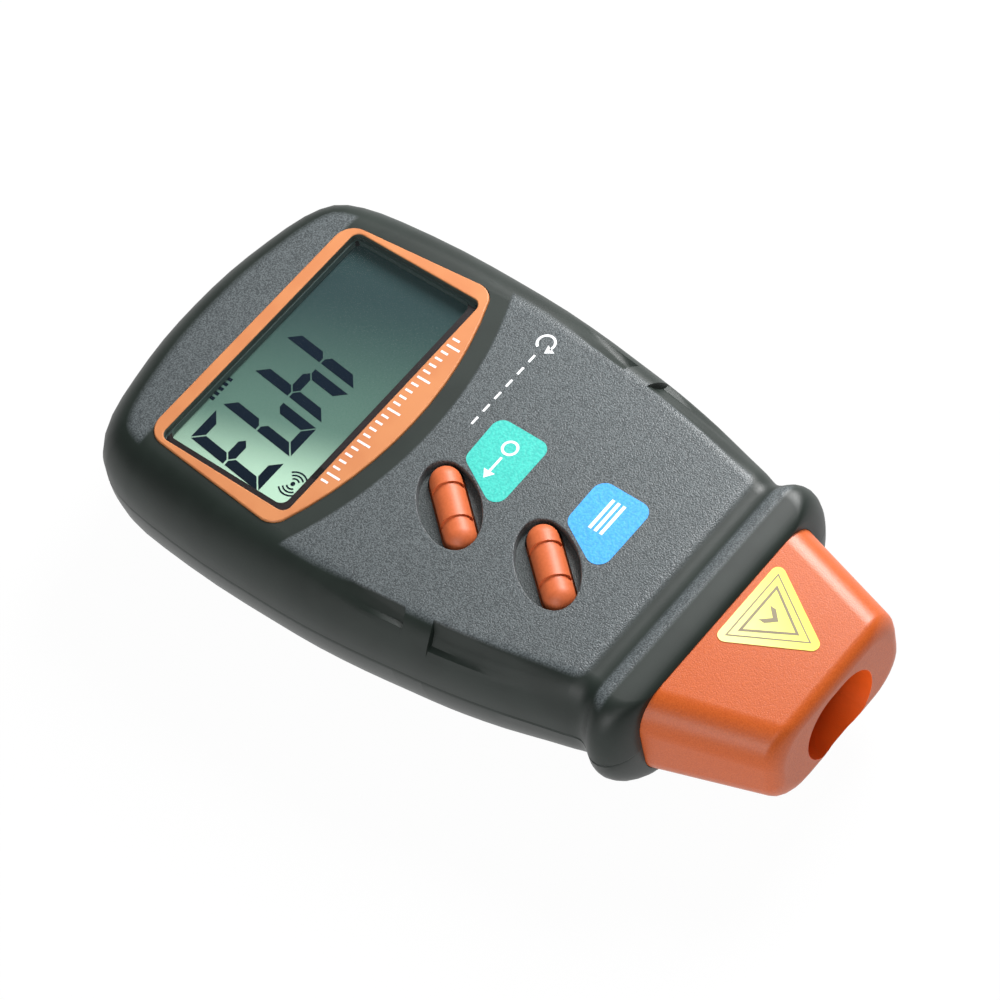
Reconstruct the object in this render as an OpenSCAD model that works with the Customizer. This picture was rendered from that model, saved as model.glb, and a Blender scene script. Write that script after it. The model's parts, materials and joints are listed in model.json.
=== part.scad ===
// Handheld laser tachometer: two moulded half shells, an orange nose with the optics behind it,
// a framed liquid crystal display, two tilted push buttons and a square battery under a sliding door.
// Units are millimetres. The measuring end points to +Y, the display faces +Z, the belly rests on z = 0.

/* [Case] */
// Overall length, from the rear end to the front of the nose
overall_l = 132.6; // [131.6:0.5:150]
// Width of the case at its widest place
case_w = 70; // [68:0.5:84]
// Height of the flat upper panel above the table
case_h = 28; // [28:0.5:34]
// Height of the parting line between the two half shells
seam_z = 17; // [15.5:0.5:18]
// Wall of the half shells
wall = 2.2; // [1.8:0.1:2.4]
// Depth of the scooped finger grips in the shoulders
grip_depth = 1.1; // [0.6:0.1:1.4]
// Width and depth of the fine groove along the parting line
seam_groove = 0.2; // [0.2:0.05:0.4]

/* [Nose] */
// Length of the nose in front of the case
nose_l = 20.3; // [19.5:0.1:21]
// Width of the nose where it leaves the case
nose_base_w = 43.6; // [41:0.2:44]
// Width of the nose at its front
nose_tip_w = 31.6; // [29:0.2:34]
// Place of the nose's front and of the mouth and optics across the case
nose_x = -1; // [-1.2:0.1:1]
// Depth of the nose's top face below the panel, where the nose leaves the case
nose_base_drop = 1.5; // [1.4:0.1:2.5]
// Depth of the nose's top face below the panel at the front
nose_tip_drop = 3.8; // [2:0.1:5]
// Height of the underside of the nose
nose_bottom = 7; // [6:0.1:7.4]
// Radius along the long edges of the nose
nose_edge_r = 6; // [4:0.25:7]
// Radius around the front of the nose
nose_tip_r = 2.2; // [1.5:0.1:4]
// Wall of the nose
nose_wall = 2; // [1.6:0.1:2.4]
// Width of the oval mouth
mouth_w = 16.2; // [14:0.2:17]
// Height of the oval mouth
mouth_h = 13.4; // [12:0.2:13.6]
// Height of the middle of the mouth, on the optical axis
mouth_z = 14.4; // [13.6:0.1:15]

/* [Display] */
// Width of the opening in the display frame
frame_open_w = 49.3; // [46:0.1:50]
// Length of the opening in the display frame
frame_open_l = 26.9; // [25:0.1:28]
// Distance from the rear end of the case to the opening in the display frame
frame_inset = 17.2; // [16.9:0.1:17.7]
// Width of the display frame along its rear edge
frame_rear_w = 50.6; // [50.6:0.1:52]
// Width of the display frame at its front corners
frame_front_w = 55.4; // [55:0.1:56]
// Width of the frame's rear bar
frame_bar = 2.5; // [2:0.1:2.8]
// Width of the frame's front band at its middle
frame_band = 5.9; // [5.4:0.1:6.4]
// Radius of the frame's curved front edge
frame_arc_r = 66; // [60:1:80]
// Height of the frame above the panel
frame_proud = 0.35; // [0.2:0.05:0.5]
// Thickness of the display frame
frame_t = 1.4; // [1.2:0.1:1.6]
// Thickness of the clear window
window_t = 0.9; // [0.7:0.1:1]
// Thickness of the display glass
lcd_t = 1.8; // [1.4:0.1:1.8]

/* [Buttons] */
// Width of a button across its round ends
button_w = 5.3; // [4.8:0.1:5.6]
// Distance between the centres of a button's round ends
button_reach = 11; // [10:0.1:12]
// Angle of the buttons, from the cross axis towards the nose
button_angle = 51.7; // [45:0.5:58]
// Place of the buttons to the right of the middle
button_x = 8.4; // [8:0.1:9.2]
// Place of the rear button along the length
button_y = -1.2; // [-1.8:0.1:0]
// Distance between the two buttons
button_pitch = 19.9; // [19:0.1:20.5]
// Height of the buttons above the panel
button_proud = 1; // [0.8:0.1:1.2]
// Travel of a button
button_travel = 0.5; // [0.3:0.05:0.6]
// Depth of the dishes round the buttons
dish_depth = 1.8; // [1.2:0.1:1.9]
// Length of a dish
dish_l = 17.4; // [17:0.2:19]
// Width of a dish
dish_w = 10; // [9:0.1:10.4]

/* [Battery] */
// Length of the battery without its terminals
battery_l = 46.4; // [45:0.1:47]
// Width of the battery
battery_w = 26.2; // [25.5:0.1:26.5]
// Thickness of the battery
battery_t = 17; // [16.5:0.1:17.2]
// Height of the battery's terminals
stud_h = 2.2; // [1.8:0.1:2.6]
// Width of the battery door
door_w = 32; // [31:0.5:33]
// Thickness of the battery door
door_t = 1.6; // [1.4:0.1:1.7]

/* [Board and optics] */
// Thickness of the circuit board
board_t = 1.6; // [1.2:0.1:1.6]
// Depth of the circuit board's upper face below the panel
board_drop = 6.2; // [6.1:0.05:6.3]
// Diameter of the laser module's brass barrel
laser_d = 6.2; // [5.6:0.1:6.4]
// Length of the laser module's brass barrel
laser_l = 13; // [11:0.5:14]
// Diameter of the receiver lens
lens_d = 7.6; // [7:0.1:7.8]
// Distance from the laser's axis to the receiver's axis
optics_pitch = 8.4; // [8.2:0.1:9]

/* [Fasteners] */
// Thread diameter of the screws
screw_d = 2; // [1.8:0.1:2.2]
// Head diameter of the screws
screw_head_d = 3.8; // [3.4:0.1:4]
// Head height of the screws
screw_head_h = 1.2; // [1:0.1:1.4]

/* [Fits] */
// Gap between fixed pieces that fit into each other
fit_gap = 0.1; // [0.08:0.01:0.15]
// Gap round the moving pieces
run_gap = 0.3; // [0.25:0.01:0.35]

/* [Hidden] */
$fn = 48;

// One overrun lets every cut pass clear through what it cuts
cut = 1;
half_l = overall_l / 2;
half_w = case_w / 2;
case_l = overall_l - nose_l;
nose_base_y = half_l - nose_l;
nose_base_top = case_h - nose_base_drop;
nose_tip_top = case_h - nose_tip_drop;
board_top = case_h - board_drop;
// Places along the case, as a share of its length from the collar's front edge
function along(share) = nose_base_y - share * case_l;

// Outline of the case from the collar's front edge round to the middle of the rear end. Each row holds
// shares: half width of half_w, place along case_l, shoulder width of half_w, turn of the shoulder
// towards the rear, panel height of case_h, belly tuck of half_w and belly height of case_h.
case_shares = [
    [0.655, 0, 0.150, 0, 0.952, 0.24, 0.215],
    [0.716, 0.0046, 0.165, 0, 0.972, 0.26, 0.210],
    [0.778, 0.0170, 0.180, 0, 0.990, 0.29, 0.208],
    [0.806, 0.0347, 0.190, 0, 1.000, 0.31, 0.208],
    [0.796, 0.0513, 0.190, 0, 0.999, 0.31, 0.208],
    [0.766, 0.0642, 0.183, 0, 0.984, 0.30, 0.206],
    [0.748, 0.0772, 0.178, 0, 0.977, 0.30, 0.204],
    [0.754, 0.0908, 0.177, 0, 0.990, 0.30, 0.196],
    [0.766, 0.1032, 0.177, 0, 1.000, 0.31, 0.184],
    [0.797, 0.1428, 0.178, 0, 1.000, 0.35, 0.140],
    [0.852, 0.2112, 0.181, 0, 1.000, 0.40, 0.070],
    [0.894, 0.2756, 0.184, 0, 1.000, 0.43, 0.026],
    [0.918, 0.3217, 0.188, 0, 1.000, 0.44, 0.010],
    [0.938, 0.3677, 0.192, 0, 1.000, 0.44, 0.003],
    [0.968, 0.4385, 0.203, 0, 1.000, 0.43, 0],
    [0.992, 0.5206, 0.215, 0, 1.000, 0.42, 0],
    [1.000, 0.6080, 0.220, 0, 1.000, 0.41, 0],
    [0.999, 0.7131, 0.226, 0.01, 1.000, 0.38, 0],
    [0.974, 0.8241, 0.230, 0.08, 1.000, 0.32, 0],
    [0.934, 0.8937, 0.230, 0.26, 1.000, 0.24, 0],
    [0.856, 0.9404, 0.232, 0.52, 1.000, 0.19, 0],
    [0.698, 0.9693, 0.236, 0.80, 1.000, 0.19, 0],
    [0.480, 0.9858, 0.240, 0.93, 1.000, 0.20, 0],
    [0.240, 0.9970, 0.242, 0.98, 1.000, 0.20, 0],
    [0, 1, 0.243, 1, 1.000, 0.20, 0]];
// Rows of the outline that the grips' steps and the cavity's front wall stand on
step_front_row = 12;
step_rear_row = 13;
cavity_row = 3;
last_row = len(case_shares) - 1;
step_width_share = 0.03;
grip_front_fade_rows = 4.2;
grip_rear_fade_rows = 1.9;
// Shoulder angles between which the grips are scooped, and the share of that span where an edge eases in
grip_front_angle = 38;
grip_rear_angle = 54;
grip_high_angle = 82;
grip_edge_share = 0.3;
// The steps lean towards the front on their way down the shoulder
grip_lean_rows = 0.32;
grip_lean_reach_rows = 3;
shoulder_power = 2.22;
belly_power = 2.18;

function clamp01(v) = max(0, min(1, v));
function ease(v) = let (c = clamp01(v)) c * c * (3 - 2 * c);

// Catmull-Rom value between the rows of the outline, at any place t along them
function row_at(i) = case_shares[max(0, min(last_row, i))];
function rear_mirror(i) = i > last_row ? let (r = case_shares[2 * last_row - i]) [-r[0], r[1], r[2], 2 - r[3],
    r[4], r[5], r[6]] : row_at(i);
function spline(a, b, c, d, u) = 0.5 * (2 * b + (c - a) * u + (2 * a - 5 * b + 4 * c - d) * u * u
    + (3 * b - a - 3 * c + d) * u * u * u);
function shares_at(t) = let (i = min(last_row - 1, floor(t)), u = t - i)
    [for (k = [0 : 6]) spline(rear_mirror(i - 1)[k], row_at(i)[k], rear_mirror(i + 1)[k],
        rear_mirror(i + 2)[k], u)];

// Places along the outline where a ring of points stands, with a close pair at each grip's step
function steps_between(a, b, n) = [for (i = [0 : n - 1]) a + (b - a) * i / n];
function ring_places(n) = concat(
    steps_between(0, step_front_row - step_width_share, n * step_front_row),
    [step_front_row - step_width_share, step_front_row],
    steps_between(step_front_row + 1 / (2 * n), step_rear_row - step_width_share, n),
    [step_rear_row, step_rear_row + step_width_share],
    steps_between(step_rear_row + 1 / n, last_row, n * (last_row - step_rear_row) - 1), [last_row]);
function plain_places(a, n) = concat(steps_between(a, last_row, n * (last_row - a)), [last_row]);

// Depth of the scooped grips at a place along the outline and an angle up the shoulder
function grip_across(angle, low) = let (edge = grip_edge_share * (grip_high_angle - low))
    ease((angle - low) / edge) * ease((grip_high_angle - angle) / edge);
function grip_at(t, angle) = grip_depth * (t <= step_front_row - step_width_share
    ? grip_across(angle, grip_front_angle) * ease(1 - (step_front_row - t) / grip_front_fade_rows)
    : t >= step_rear_row + step_width_share
    ? grip_across(angle, grip_rear_angle) * ease(1 - (t - step_rear_row) / grip_rear_fade_rows) : 0);
function grip_lean(t, angle) = grip_lean_rows * sin(2 * angle)
    * max(0, 1 - abs(t - (step_front_row + step_rear_row) / 2) / grip_lean_reach_rows);

// A point of the upper skin: side is 1 on the right and -1 on the left, inset moves the skin inwards
function upper_point(t, angle, side, inset, scoop) = let (
    s = shares_at(scoop ? t - grip_lean(t, angle) : t),
    turn = 90 * s[3],
    shoulder = s[2] * half_w,
    out = pow(cos(angle), 2 / shoulder_power),
    up = pow(sin(angle), 2 / shoulder_power),
    depth = scoop ? grip_at(t, angle) : 0,
    inward = inset + shoulder * (1 - out) + depth * cos(angle),
    top = s[4] * case_h - inset)
    [side * (s[0] * half_w - inward * cos(turn)), along(s[1]) + inward * sin(turn),
        seam_z + (top - seam_z) * up - depth * sin(angle)];
// A point of the lower skin, at an angle down from the parting line
function lower_point(t, angle, side, inset) = let (
    s = shares_at(t),
    turn = 90 * s[3],
    tuck = s[5] * half_w,
    out = pow(cos(angle), 2 / belly_power),
    down = pow(sin(angle), 2 / belly_power),
    inward = inset + tuck * (1 - out),
    bottom = s[6] * case_h + inset)
    [side * (s[0] * half_w - inward * cos(turn)), along(s[1]) + inward * sin(turn),
        seam_z - (seam_z - bottom) * down];

// Closed solid from rings of points that run from the front right, round the rear, to the front left.
// Every ring has the same count of levels and lies in the plane of its mirror image.
module skinned(rings) {
    count = len(rings);
    levels = len(rings[0]);
    middle = (count - 1) / 2;
    function at(r, l) = r * levels + l;
    sides = [for (r = [0 : count - 2], l = [0 : levels - 2]) each
        [[at(r, l), at(r + 1, l), at(r + 1, l + 1)], [at(r, l), at(r + 1, l + 1), at(r, l + 1)]]];
    caps = [for (r = [0 : middle - 1], e = [0, 1]) let (l = e * (levels - 1), m = count - 1 - r)
        each r == middle - 1
            ? [e == 1 ? [at(r, l), at(r + 1, l), at(m, l)] : [at(m, l), at(r + 1, l), at(r, l)]]
            : e == 1 ? [[at(r, l), at(r + 1, l), at(m - 1, l)], [at(r, l), at(m - 1, l), at(m, l)]]
            : [[at(m - 1, l), at(r + 1, l), at(r, l)], [at(m, l), at(m - 1, l), at(r, l)]]];
    front = [for (l = [0 : levels - 2]) each
        [[at(0, l), at(0, l + 1), at(count - 1, l + 1)], [at(0, l), at(count - 1, l + 1), at(count - 1, l)]]];
    polyhedron(points = [for (r = rings) each r], faces = concat(sides, caps, front));
}
function both_sides(places) = concat([for (t = places) [t, 1]],
    [for (i = [len(places) - 2 : -1 : 0]) [places[i], -1]]);
function levels_of(n, first) = [for (i = [0 : n]) first + (90 - first) * i / n];

ring_detail = 2;
level_detail = 13;
inner_detail = 1;
inner_level_detail = 6;
seam_angle = 1.2;

// Outer solid above the parting line, with the fine groove at its foot
module upper_body() {
    skinned([for (p = both_sides(ring_places(ring_detail))) concat(
        [upper_point(p[0], 0, p[1], seam_groove, false)],
        [for (a = levels_of(level_detail, seam_angle)) upper_point(p[0], a, p[1], 0, true)])]);
}
// Outer solid below the parting line
module lower_body() {
    mirror([0, 0, 1]) skinned([for (p = both_sides(ring_places(ring_detail))) [for (q = concat(
        [lower_point(p[0], 0, p[1], seam_groove)],
        [for (a = levels_of(level_detail, seam_angle)) lower_point(p[0], a, p[1], 0)]))
        [q[0], q[1], -q[2]]]]);
}
// Space inside the upper shell; its lowest ring is dropped below the parting line
module upper_cavity(inset) {
    skinned([for (p = both_sides(plain_places(cavity_row, inner_detail))) concat(
        [upper_point(p[0], 0, p[1], inset, false) - [0, 0, cut]],
        [for (a = levels_of(inner_level_detail, 0)) upper_point(p[0], a, p[1], inset, false)])]);
}
module lower_cavity(inset) {
    mirror([0, 0, 1]) skinned([for (p = both_sides(plain_places(cavity_row, inner_detail)))
        [for (q = concat([lower_point(p[0], 0, p[1], inset) + [0, 0, cut]],
            [for (a = levels_of(inner_level_detail, 0)) lower_point(p[0], a, p[1], inset)]))
            [q[0], q[1], -q[2]]]]);
}

// Polygon with its corners rounded to the radii given for them
function corner_arc(a, b, c, r, n) = r == 0 ? [b] : let (
    u = (a - b) / norm(a - b), v = (c - b) / norm(c - b),
    half = acos(u * v) / 2, m = (u + v) / norm(u + v), centre = b + m * r / sin(half),
    start = atan2(-m[1], -m[0]) + (90 - half) * sign(u[0] * v[1] - u[1] * v[0]),
    sweep = 2 * (90 - half) * sign(u[0] * v[1] - u[1] * v[0]))
    [for (i = [0 : n]) let (w = start - sweep * i / n) centre + r * [cos(w), sin(w)]];
function rounded(points, radii, n = 8) = [for (i = [0 : len(points) - 1])
    each corner_arc(points[(i + len(points) - 1) % len(points)], points[i],
        points[(i + 1) % len(points)], radii[i], n)];
function box_corners(x0, x1, y0, y1) = [[x0, y0], [x1, y0], [x1, y1], [x0, y1]];
module rounded_block(x0, x1, y0, y1, z0, z1, r) {
    translate([0, 0, z0]) linear_extrude(z1 - z0)
        polygon(rounded(box_corners(x0, x1, y0, y1), [r, r, r, r]));
}
module block(x0, x1, y0, y1, z0, z1) {
    translate([x0, y0, z0]) cube([x1 - x0, y1 - y0, z1 - z0]);
}
// Slot shape between two round ends
module slot(length, width, height) {
    linear_extrude(height) {
        square([length, width], center = true);
        for (s = [-1, 1]) translate([s * length / 2, 0]) circle(d = width);
    }
}

// Nose sections are rounded boxes in the cross plane: [y, half width, bottom, top, radius, middle]
nose_front_y = half_l;
nose_corner_points = 7;
nose_tip_steps = 5;
nose_root_y = nose_base_y - nose_wall * 3.2;
function nose_section(s) = let (hw = s[1], r = min(s[4], hw, (s[3] - s[2]) / 2), n = nose_corner_points)
    [for (c = [[hw - r, s[3] - r, 0], [r - hw, s[3] - r, 90],
        [r - hw, s[2] + r, 180], [hw - r, s[2] + r, 270]])
        each [for (i = [0 : n]) let (a = c[2] + 90 * i / n)
            [s[5] + c[0] + r * cos(a), s[0], c[1] + r * sin(a)]]];
function nose_share(y) = clamp01((y - nose_base_y) / (nose_front_y - nose_base_y));
function nose_size(y, inset) = let (u = nose_share(y))
    [y, nose_base_w / 2 + (nose_tip_w - nose_base_w) / 2 * u - inset, nose_bottom + inset,
        nose_base_top + (nose_tip_top - nose_base_top) * u - inset, nose_edge_r - inset, nose_x * u];
module lofted(sections) {
    rings = [for (s = sections) nose_section(s)];
    n = len(rings[0]);
    faces = concat([for (r = [0 : len(rings) - 2], i = [0 : n - 1]) let (j = (i + 1) % n) each
        [[r * n + i, r * n + j, (r + 1) * n + j], [r * n + i, (r + 1) * n + j, (r + 1) * n + i]]],
        [[for (i = [n - 1 : -1 : 0]) i]], [[for (i = [0 : n - 1]) (len(rings) - 1) * n + i]]);
    polyhedron(points = [for (r = rings) each r], faces = faces);
}
module nose_solid() {
    lofted(concat([nose_size(nose_root_y, 0), nose_size(nose_base_y, 0)],
        [for (i = [0 : nose_tip_steps]) let (a = 90 * i / nose_tip_steps, back = nose_tip_r * (1 - sin(a)),
            base = nose_size(nose_front_y - back, nose_tip_r * (1 - cos(a))))
            [base[0], base[1], base[2], base[3], nose_edge_r, base[5]]]));
}
// Straight tube along Y at the mouth
module mouth_shape(extra, y0, y1) {
    translate([nose_x, y1, mouth_z]) rotate([90, 0, 0]) linear_extrude(y1 - y0) {
        straight = mouth_w - mouth_h;
        square([straight, mouth_h + 2 * extra], center = true);
        for (s = [-1, 1]) translate([s * straight / 2, 0]) circle(d = mouth_h + 2 * extra);
    }
}

// Places that several pieces share
frame_open_y = frame_inset - half_l;
frame_rear_y = frame_open_y - frame_bar;
frame_open_front = frame_open_y + frame_open_l;
frame_top = case_h + frame_proud;
frame_seat = frame_top - frame_t;
frame_arc_y = frame_open_front + frame_band;
frame_corner_share = 0.93;
frame_arc_steps = 12;
frame_corner_r = 3.6;
frame_open_r = 1.5;
panel_under = case_h - wall;
button_places = [button_y, button_y + button_pitch];
dish_floor = case_h - dish_depth;
dish_pad_t = 1.7;
dish_under = dish_floor - dish_pad_t;
dish_pad_rim = 3.05;
dish_shift = 0.4;
dish_points = 40;
flange_t = 0.7;
flange_rim = 1;
flange_under = dish_under - flange_t;
board_under = board_top - board_t;

module frame_outline(grow) {
    arc_half = frame_front_w / 2 * frame_corner_share;
    front_y = frame_arc_y - frame_arc_r + sqrt(pow(frame_arc_r, 2) - pow(arc_half, 2));
    reach = asin(arc_half / frame_arc_r);
    corners = [[frame_rear_w / 2 + grow, frame_rear_y - grow],
        [frame_front_w / 2 + grow, front_y - frame_bar / 2]];
    arc = [for (i = [0 : frame_arc_steps]) let (a = reach - 2 * reach * i / frame_arc_steps)
        [(frame_arc_r + grow) * sin(a), frame_arc_y - frame_arc_r + (frame_arc_r + grow) * cos(a)]];
    points = concat([[-corners[0][0], corners[0][1]]], corners, arc, [[-corners[1][0], corners[1][1]]]);
    polygon(rounded(points, concat([frame_corner_r + grow, frame_corner_r + grow, frame_corner_r],
        [for (p = arc) 0], [frame_corner_r])));
}

// Case screws come in from below, through four deep wells; the rear pair stands behind the board
case_screw_places = [for (s = [-1, 1]) each
    [[s * half_w * 0.586, along(0.914)], [s * half_w * 0.571, along(0.173)]]];
boss_d = screw_d * 3;
screw_l = 14;
head_seat_z = seam_z * 0.53;
// Board screws come in from below into bosses under the panel
board_screw_l = 4;
board_boss_d = screw_d * 2.6;
board_screw_places = [for (s = [-1, 1]) each
    [[s * half_w * 0.557, along(0.536)], [s * half_w * 0.329, along(0.127)]]];
// Dark lip inside the display frame, wider on the right and at the front
lip_left = 0.5;
lip_right = 1.4;
lip_rear = 0.2;
lip_front = 1.9;

module screw(p, z, up, length) {
    translate([p[0], p[1], z]) mirror([0, 0, up ? 0 : 1]) {
        cylinder(d = screw_d, h = length);
        difference() {
            translate([0, 0, -screw_head_h]) cylinder(d = screw_head_d, h = screw_head_h);
            for (a = [0, 90]) rotate(a) translate([0, 0, -screw_head_h]) cube(
                [screw_head_d * 0.6, screw_head_d * 0.16, screw_head_h], center = true);
        }
    }
}
module screw_well(p, z0, depth, d) {
    translate([p[0], p[1], z0]) cylinder(d = d, h = depth);
}

// Oval dish beside each button
module dish_cut() {
    linear_extrude(case_h)
        polygon([for (i = [0 : dish_points - 1]) let (a = 360 * i / dish_points)
            [dish_l / 2 * cos(a), dish_w / 2 * sin(a)]]);
}
// Passage for the nose through the collar
module nose_passage() {
    lofted([for (y = [nose_root_y - cut, nose_base_y + cut * 2])
        let (s = nose_size(nose_base_y, -fit_gap)) [y, s[1], s[2], s[3], s[4], 0]]);
}

module top_shell() color([0.27, 0.29, 0.28]) {
    difference() {
        upper_body();
        difference() {
            upper_cavity(wall);
            for (y = button_places) translate([button_x, y, dish_under]) rotate(button_angle)
                slot(button_reach, button_w + 2 * dish_pad_rim, case_h - dish_under);
            for (p = case_screw_places) screw_well(p, seam_z, case_h, boss_d);
            for (p = board_screw_places) screw_well(p, board_top, case_h, board_boss_d);
        }
        block(-board_half_rear - fit_gap, board_half_rear + fit_gap, board_rear_y - fit_gap,
            lcd_front_y + holder_wall + fit_gap, seam_z - cut, panel_under);
        translate([0, 0, frame_seat]) linear_extrude(case_h) frame_outline(fit_gap);
        rounded_block(-frame_open_w / 2 + lip_left, frame_open_w / 2 - lip_right, frame_open_y + lip_rear,
            frame_open_front - lip_front, panel_under - cut, case_h, frame_open_r);
        for (y = button_places) translate([button_x, y, 0]) rotate(button_angle) {
            translate([0, 0, dish_under - cut]) slot(button_reach, button_w + 2 * run_gap, case_h);
            translate([0, -dish_shift, dish_floor]) dish_cut();
        }
        for (p = case_screw_places) screw_well(p, seam_z - cut,
            cut + head_seat_z + screw_l - seam_z + run_gap, screw_d + fit_gap);
        for (p = board_screw_places) screw_well(p, board_top - cut,
            cut + board_screw_l - board_t + run_gap, screw_d + fit_gap);
        nose_passage();
    }
}

// Battery, door and the rails that the door slides in
door_rise = seam_z * 0.4;
door_tongue = 1.2;
door_lap = 0.5;
battery_inset = 10.6;
battery_rear_y = battery_inset - half_l;
battery_front_y = battery_rear_y + battery_l;
battery_z = door_t + fit_gap * 2.5;
battery_mid_z = battery_z + battery_t / 2;
bay_half = door_w / 2 + fit_gap * 1.5;
bay_wall = 1.6;
clip_t = 4;
bay_front_y = battery_front_y + clip_t + run_gap * 4;
door_end_y = bay_front_y - door_lap;

module door_slot(gap, z_gap) {
    block(-door_w / 2 - gap, door_w / 2 + gap, -half_l - cut, door_end_y + gap, -cut, door_t + z_gap);
    block(-door_w / 2 - door_tongue - gap, door_w / 2 + door_tongue + gap, -half_l - cut,
        door_end_y + door_tongue + gap, door_t / 2 - z_gap, door_t + z_gap);
}
// Opening of the battery bay above the door
module bay_opening() {
    block(-bay_half, bay_half, -half_l - cut, door_end_y + fit_gap, 0, wall * 1.6);
}
module door_rear(gap) {
    block(-door_w / 2 - gap, door_w / 2 + gap, -half_l - cut, -half_l + half_w * 0.2, -cut, door_rise + gap);
}

// Posts that carry the optics block behind the nose's tunnel
tunnel_l = 14.5;
tunnel_rear_y = nose_front_y - tunnel_l;
carrier_foot_z = nose_bottom + nose_wall + run_gap;
carrier_l = 16.5;
carrier_front_y = tunnel_rear_y - run_gap;
carrier_rear_y = carrier_front_y - carrier_l;
carrier_ear = 5.6;
carrier_ear_y = carrier_rear_y + carrier_ear / 2;
carrier_side = 1.5;
carrier_half = optics_pitch / 2 + lens_d / 2 + carrier_side;
carrier_ear_t = 2;
carrier_screw_l = 3.8;
carrier_screw_x = carrier_half + carrier_ear / 2;
carrier_post_d = carrier_ear - fit_gap;

module bottom_shell() color([0.25, 0.27, 0.26]) {
    difference() {
        lower_body();
        difference() {
            lower_cavity(wall);
            for (p = case_screw_places) screw_well(p, -cut, seam_z + cut, boss_d);
            for (s = [-1, 1]) {
                block(s > 0 ? bay_half : -bay_half - bay_wall, s > 0 ? bay_half + bay_wall : -bay_half,
                    -half_l, bay_front_y + bay_wall, 0, seam_z - fit_gap);
                screw_well([nose_x + s * carrier_screw_x, carrier_ear_y], 0, carrier_foot_z,
                    carrier_post_d);
            }
            block(-bay_half - bay_wall, bay_half + bay_wall, bay_front_y, bay_front_y + bay_wall, 0,
                seam_z - fit_gap);
        }
        door_slot(fit_gap * 1.5, fit_gap * 1.5);
        door_rear(fit_gap * 1.5);
        bay_opening();
        for (p = case_screw_places) {
            screw_well(p, -cut, head_seat_z + cut, screw_head_d + 2 * fit_gap);
            screw_well(p, 0, seam_z + cut, screw_d + 2 * fit_gap);
        }
        for (s = [-1, 1]) screw_well([nose_x + s * carrier_screw_x, carrier_ear_y],
            carrier_foot_z + carrier_ear_t - carrier_screw_l - run_gap, case_h, screw_d + fit_gap);
        nose_passage();
    }
}

// The door carries on the belly's and the rear wall's skin, with a tongue on three sides
grip_ribs = 6;
grip_rib_pitch = 1.6;
grip_rib_w = 0.7;
grip_rib_l = door_w * 0.5;
module battery_door() color([0.24, 0.26, 0.25]) {
    difference() {
        intersection() {
            difference() {
                lower_body();
                lower_cavity(door_t);
            }
            union() {
                door_slot(0, 0);
                door_rear(0);
            }
        }
        for (i = [0 : grip_ribs - 1]) block(-grip_rib_l / 2, grip_rib_l / 2,
            door_end_y - grip_rib_pitch * (i + 2.5), door_end_y - grip_rib_pitch * (i + 2.5) + grip_rib_w,
            -cut, door_t * 0.3);
    }
}
module battery_pad() color([0.12, 0.12, 0.13]) block(-battery_w * 0.35, battery_w * 0.35,
    battery_rear_y + battery_l * 0.25, battery_rear_y + battery_l * 0.75, battery_z + battery_t, board_under);

// Nose: a hollow taper with a straight tunnel behind its mouth
tunnel_wall = 1.6;
flange_front_y = along(case_shares[cavity_row][1]) - fit_gap;
flange_l = 2;
flange_side = 1.6;
module nose_cone() color([0.80, 0.36, 0.20]) {
    difference() {
        union() {
            difference() {
                nose_solid();
                lofted([for (y = [nose_root_y - cut, nose_base_y, nose_front_y - nose_wall])
                    nose_size(y, nose_wall)]);
            }
            intersection() {
                mouth_shape(tunnel_wall, tunnel_rear_y, nose_front_y - nose_wall / 2);
                block(-half_w, half_w, tunnel_rear_y - cut, nose_front_y, nose_bottom, case_h);
            }
            for (s = [-1, 1]) block(s > 0 ? nose_base_w / 2 - nose_wall / 2 : -nose_base_w / 2 - flange_side,
                s > 0 ? nose_base_w / 2 + flange_side : nose_wall / 2 - nose_base_w / 2,
                flange_front_y - flange_l, flange_front_y, mouth_z - mouth_h / 6, mouth_z + mouth_h / 3);
        }
        mouth_shape(0, tunnel_rear_y - cut, nose_front_y + cut);
    }
}

module display_bezel() color([0.90, 0.56, 0.33]) {
    difference() {
        translate([0, 0, frame_seat]) linear_extrude(frame_t) frame_outline(0);
        rounded_block(-frame_open_w / 2, frame_open_w / 2, frame_open_y, frame_open_front, frame_seat - cut,
            frame_top + cut, frame_open_r);
    }
}
module display_window() color([0.75, 0.85, 0.82, 0.35])
    rounded_block(fit_gap - frame_open_w / 2, frame_open_w / 2 - fit_gap, frame_open_y + fit_gap,
        frame_open_front - fit_gap, frame_seat, frame_seat + window_t, frame_open_r);

// Display glass in its holder, on two rubber contact strips
lcd_side = 1;
lcd_rear = 1.5;
lcd_front = 0.6;
lcd_half_w = frame_open_w / 2 + lcd_side;
lcd_rear_y = frame_open_y - lcd_rear;
lcd_front_y = frame_open_front + lcd_front;
lcd_top = panel_under - run_gap;
lcd_under = lcd_top - lcd_t;
holder_wall = 1.4;
holder_ledge = 0.6;
zebra_w = 2;
zebra_inset = 0.6;
reflector_t = 0.3;
module lcd_glass() color([0.55, 0.68, 0.62])
    block(-lcd_half_w, lcd_half_w, lcd_rear_y, lcd_front_y, lcd_under, lcd_top);
module lcd_reflector() color([0.75, 0.77, 0.76])
    block(zebra_w - lcd_half_w, lcd_half_w - zebra_w, lcd_rear_y + zebra_inset + zebra_w + run_gap,
        lcd_front_y - zebra_inset - zebra_w - run_gap, lcd_under - reflector_t, lcd_under);
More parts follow.
